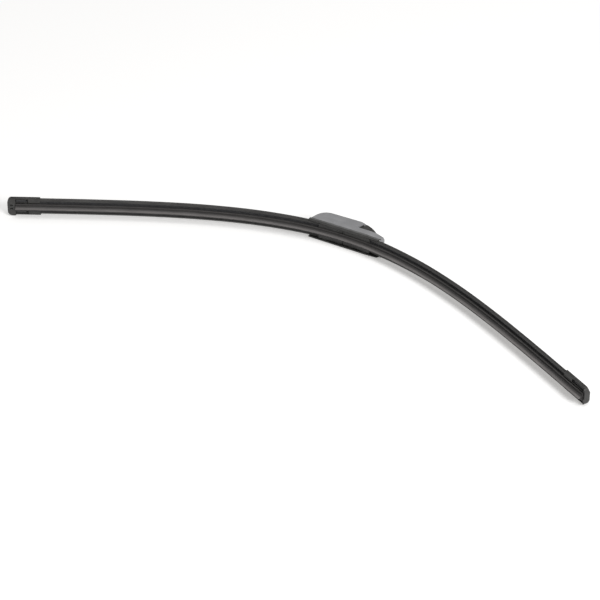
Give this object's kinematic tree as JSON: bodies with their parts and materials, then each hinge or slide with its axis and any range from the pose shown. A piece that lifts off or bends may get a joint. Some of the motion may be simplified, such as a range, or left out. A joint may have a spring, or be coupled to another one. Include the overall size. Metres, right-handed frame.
{
  "type": "wiper blade",
  "caption": "Frameless curved wiper blade lying on its side: rubber lip held by spring rails, clipped spoiler with end caps, and a hooded connector for a hook arm.",
  "frame": {"origin": "middle of the pivot pin that the hook adapter turns on, halfway along the blade", "axes": "+X along the blade at its middle, +Y from the rubber lip to the convex back, +Z across the blade, up from the floor it lies on"},
  "size_m": [0.5578, 0.1292, 0.0186],
  "materials": {
    "wiper_rubber": "matt, graphite coated",
    "spring_steel": "black coated spring steel",
    "spoiler": "satin extrusion",
    "end_cap": "fine moulded grain",
    "connector_base": "moulded",
    "pivot_pin": "plain turned",
    "hook_adapter": "moulded",
    "hood": "fine moulded grain"
  },
  "bodies": {
    "blade": {"wiper_rubber": "wiper_rubber", "spring_rail_upper": "spring_steel", "spring_rail_lower": "spring_steel", "spoiler_left": "spoiler", "spoiler_right": "spoiler", "end_cap_left": "end_cap", "end_cap_right": "end_cap", "connector_base": "connector_base", "pivot_pin": "pivot_pin", "hood": "hood"},
    "adapter": {"hook_adapter": "hook_adapter"}
  },
  "joints": [
    {"name": "adapter_pivot", "type": "hinge", "parent": "blade", "child": "adapter", "pos_m": [0, 0, 0], "axis": [0, 0, 1], "range_deg": [-10, 10]}
  ]
}
